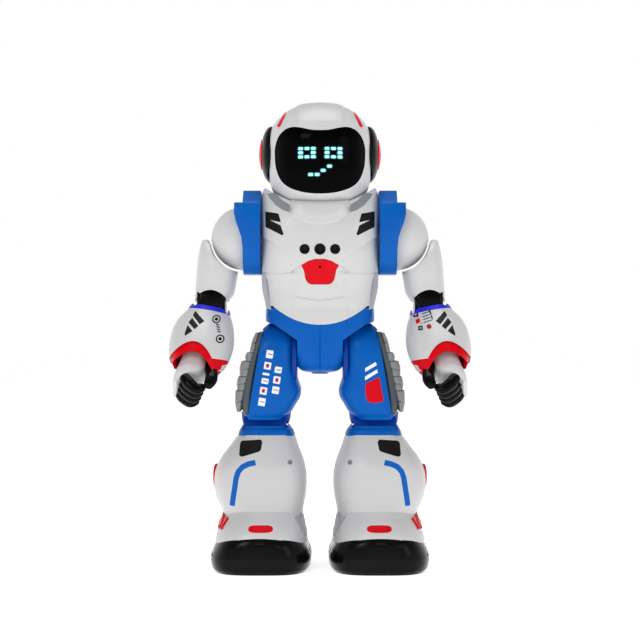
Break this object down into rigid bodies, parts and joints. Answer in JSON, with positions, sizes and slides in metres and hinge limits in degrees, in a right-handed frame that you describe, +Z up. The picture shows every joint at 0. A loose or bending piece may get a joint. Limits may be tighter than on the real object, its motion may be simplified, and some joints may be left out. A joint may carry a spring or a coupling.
{
  "type": "walking humanoid toy robot",
  "caption": "Walking humanoid toy robot with a lit visor face, ball-jointed swinging arms, curled hands, and motor-driven legs on one-way sole rollers.",
  "frame": {"origin": "on the floor under the middle of the robot, between its two feet", "axes": "+Z up, the robot faces -Y, its own left is +X"},
  "size_m": [0.1746, 0.0982, 0.27],
  "materials": {
    "white_plastic": "satin moulded, warm white",
    "blue_plastic": "satin moulded, bright blue",
    "red_plastic": "glossy moulded red",
    "black_gloss": "mirror-gloss black",
    "black_plastic": "fine matt black",
    "grey_plastic": "matt mid grey",
    "sole_rubber": "semi-gloss black, moulded tread",
    "rubber": "matt black grip rubber",
    "led_cyan": "clear lens, lit cyan",
    "circuit_green": "solder mask",
    "battery_wrap": "heat-shrink wrap",
    "gear_nylon": "natural nylon",
    "brass": "machined",
    "steel": "zinc plated"
  },
  "bodies": {
    "torso": {"chest_cover": "white_plastic", "back_cover": "white_plastic", "side_trims": "grey_plastic", "sensor_lenses": "black_gloss", "chest_badge": "red_plastic", "battery_pack": "battery_wrap", "battery_door": "white_plastic", "circuit_board": "circuit_green", "speaker": "black_plastic", "case_screws": "steel", "pelvis_front_shell": "blue_plastic", "pelvis_rear_shell": "blue_plastic", "gearbox_frame": "black_plastic", "drive_motor": "steel", "hip_axle": "steel", "charge_socket": "black_plastic"},
    "head": {"head_front_shell": "white_plastic", "head_rear_shell": "white_plastic", "visor": "black_gloss", "face_board": "circuit_green", "face_leds": "led_cyan", "ear_discs": "black_gloss", "ear_caps": "red_plastic", "head_light_inserts": "red_plastic", "neck_post": "black_plastic"},
    "switch": {"power_switch": "black_plastic"},
    "pinion": {"motor_pinion": "brass"},
    "crank": {"crank_gear": "gear_nylon"},
    "left_shoulder": {"left_shoulder_yoke": "blue_plastic", "left_shoulder_ball": "white_plastic"},
    "left_upper_arm": {"left_arm_sleeve": "white_plastic", "left_elbow_block": "black_plastic"},
    "left_forearm": {"left_gauntlet": "white_plastic", "left_cuff_ring": "red_plastic", "left_palm": "white_plastic", "left_fingers": "black_gloss"},
    "left_thigh": {"left_thigh_shell": "blue_plastic", "left_thigh_pad": "grey_plastic"},
    "left_boot": {"left_knee_collar": "blue_plastic", "left_shin_shell": "white_plastic", "left_shin_trims": "red_plastic", "left_foot_upper": "white_plastic", "left_sole": "sole_rubber"},
    "left_roller": {"left_sole_roller": "rubber"},
    "right_shoulder": {"right_shoulder_yoke": "blue_plastic", "right_shoulder_ball": "white_plastic"},
    "right_upper_arm": {"right_arm_sleeve": "white_plastic", "right_elbow_block": "black_plastic"},
    "right_forearm": {"right_gauntlet": "white_plastic", "right_cuff_ring": "red_plastic", "right_palm": "white_plastic", "right_fingers": "black_gloss"},
    "right_thigh": {"right_thigh_shell": "blue_plastic", "right_thigh_pad": "grey_plastic"},
    "right_boot": {"right_knee_collar": "blue_plastic", "right_shin_shell": "white_plastic", "right_shin_trims": "red_plastic", "right_foot_upper": "white_plastic", "right_sole": "sole_rubber"},
    "right_roller": {"right_sole_roller": "rubber"}
  },
  "joints": [
    {"name": "head_turn", "type": "hinge", "parent": "torso", "child": "head", "pos_m": [0, 0, 0.2], "axis": [0, 0, 1], "range_deg": [-40, 40]},
    {"name": "power_switch_slide", "type": "slide", "parent": "torso", "child": "switch", "axis": [1, 0, 0], "range_m": [0, 0.003]},
    {"name": "crank_turn", "type": "hinge", "parent": "torso", "child": "crank", "pos_m": [0, 0, 0.148], "axis": [1, 0, 0], "continuous": true},
    {"name": "pinion_turn", "type": "hinge", "parent": "torso", "child": "pinion", "pos_m": [0, 0, 0.1615], "axis": [1, 0, 0], "continuous": true},
    {"name": "left_shoulder_swing", "type": "hinge", "parent": "torso", "child": "left_shoulder", "pos_m": [0, 0, 0.194], "axis": [1, 0, 0], "range_deg": [-110, 45]},
    {"name": "left_arm_spread", "type": "hinge", "parent": "left_shoulder", "child": "left_upper_arm", "pos_m": [0.0448, 0, 0.1907], "axis": [0, -1, 0], "range_deg": [0, 38]},
    {"name": "left_elbow_bend", "type": "hinge", "parent": "left_upper_arm", "child": "left_forearm", "pos_m": [0.0632, 0, 0.1532], "axis": [1, 0, 0], "range_deg": [-30, 30]},
    {"name": "left_hip", "type": "hinge", "parent": "torso", "child": "left_thigh", "pos_m": [0, 0, 0.122], "axis": [1, 0, 0], "range_deg": [-12, 12]},
    {"name": "left_knee", "type": "hinge", "parent": "left_thigh", "child": "left_boot", "pos_m": [0, 0, 0.08], "axis": [1, 0, 0], "range_deg": [-12, 12]},
    {"name": "left_roller_spin", "type": "hinge", "parent": "left_boot", "child": "left_roller", "pos_m": [0, 0.024, 0.004], "axis": [1, 0, 0], "continuous": true},
    {"name": "right_shoulder_swing", "type": "hinge", "parent": "torso", "child": "right_shoulder", "pos_m": [0, 0, 0.194], "axis": [1, 0, 0], "range_deg": [-110, 45]},
    {"name": "right_arm_spread", "type": "hinge", "parent": "right_shoulder", "child": "right_upper_arm", "pos_m": [-0.0448, 0, 0.1907], "axis": [0, 1, 0], "range_deg": [0, 38]},
    {"name": "right_elbow_bend", "type": "hinge", "parent": "right_upper_arm", "child": "right_forearm", "pos_m": [-0.0632, 0, 0.1532], "axis": [1, 0, 0], "range_deg": [-30, 30]},
    {"name": "right_hip", "type": "hinge", "parent": "torso", "child": "right_thigh", "pos_m": [0, 0, 0.122], "axis": [1, 0, 0], "range_deg": [-12, 12]},
    {"name": "right_knee", "type": "hinge", "parent": "right_thigh", "child": "right_boot", "pos_m": [0, 0, 0.08], "axis": [1, 0, 0], "range_deg": [-12, 12]},
    {"name": "right_roller_spin", "type": "hinge", "parent": "right_boot", "child": "right_roller", "pos_m": [0, 0.024, 0.004], "axis": [1, 0, 0], "continuous": true}
  ],
  "couplings": [
    {"joint": "pinion_turn", "follows": "crank_turn", "ratio": -4},
    {"joint": "right_hip", "follows": "left_hip", "ratio": -1},
    {"joint": "left_knee", "follows": "left_hip", "ratio": -1},
    {"joint": "right_knee", "follows": "left_hip", "ratio": 1}
  ]
}
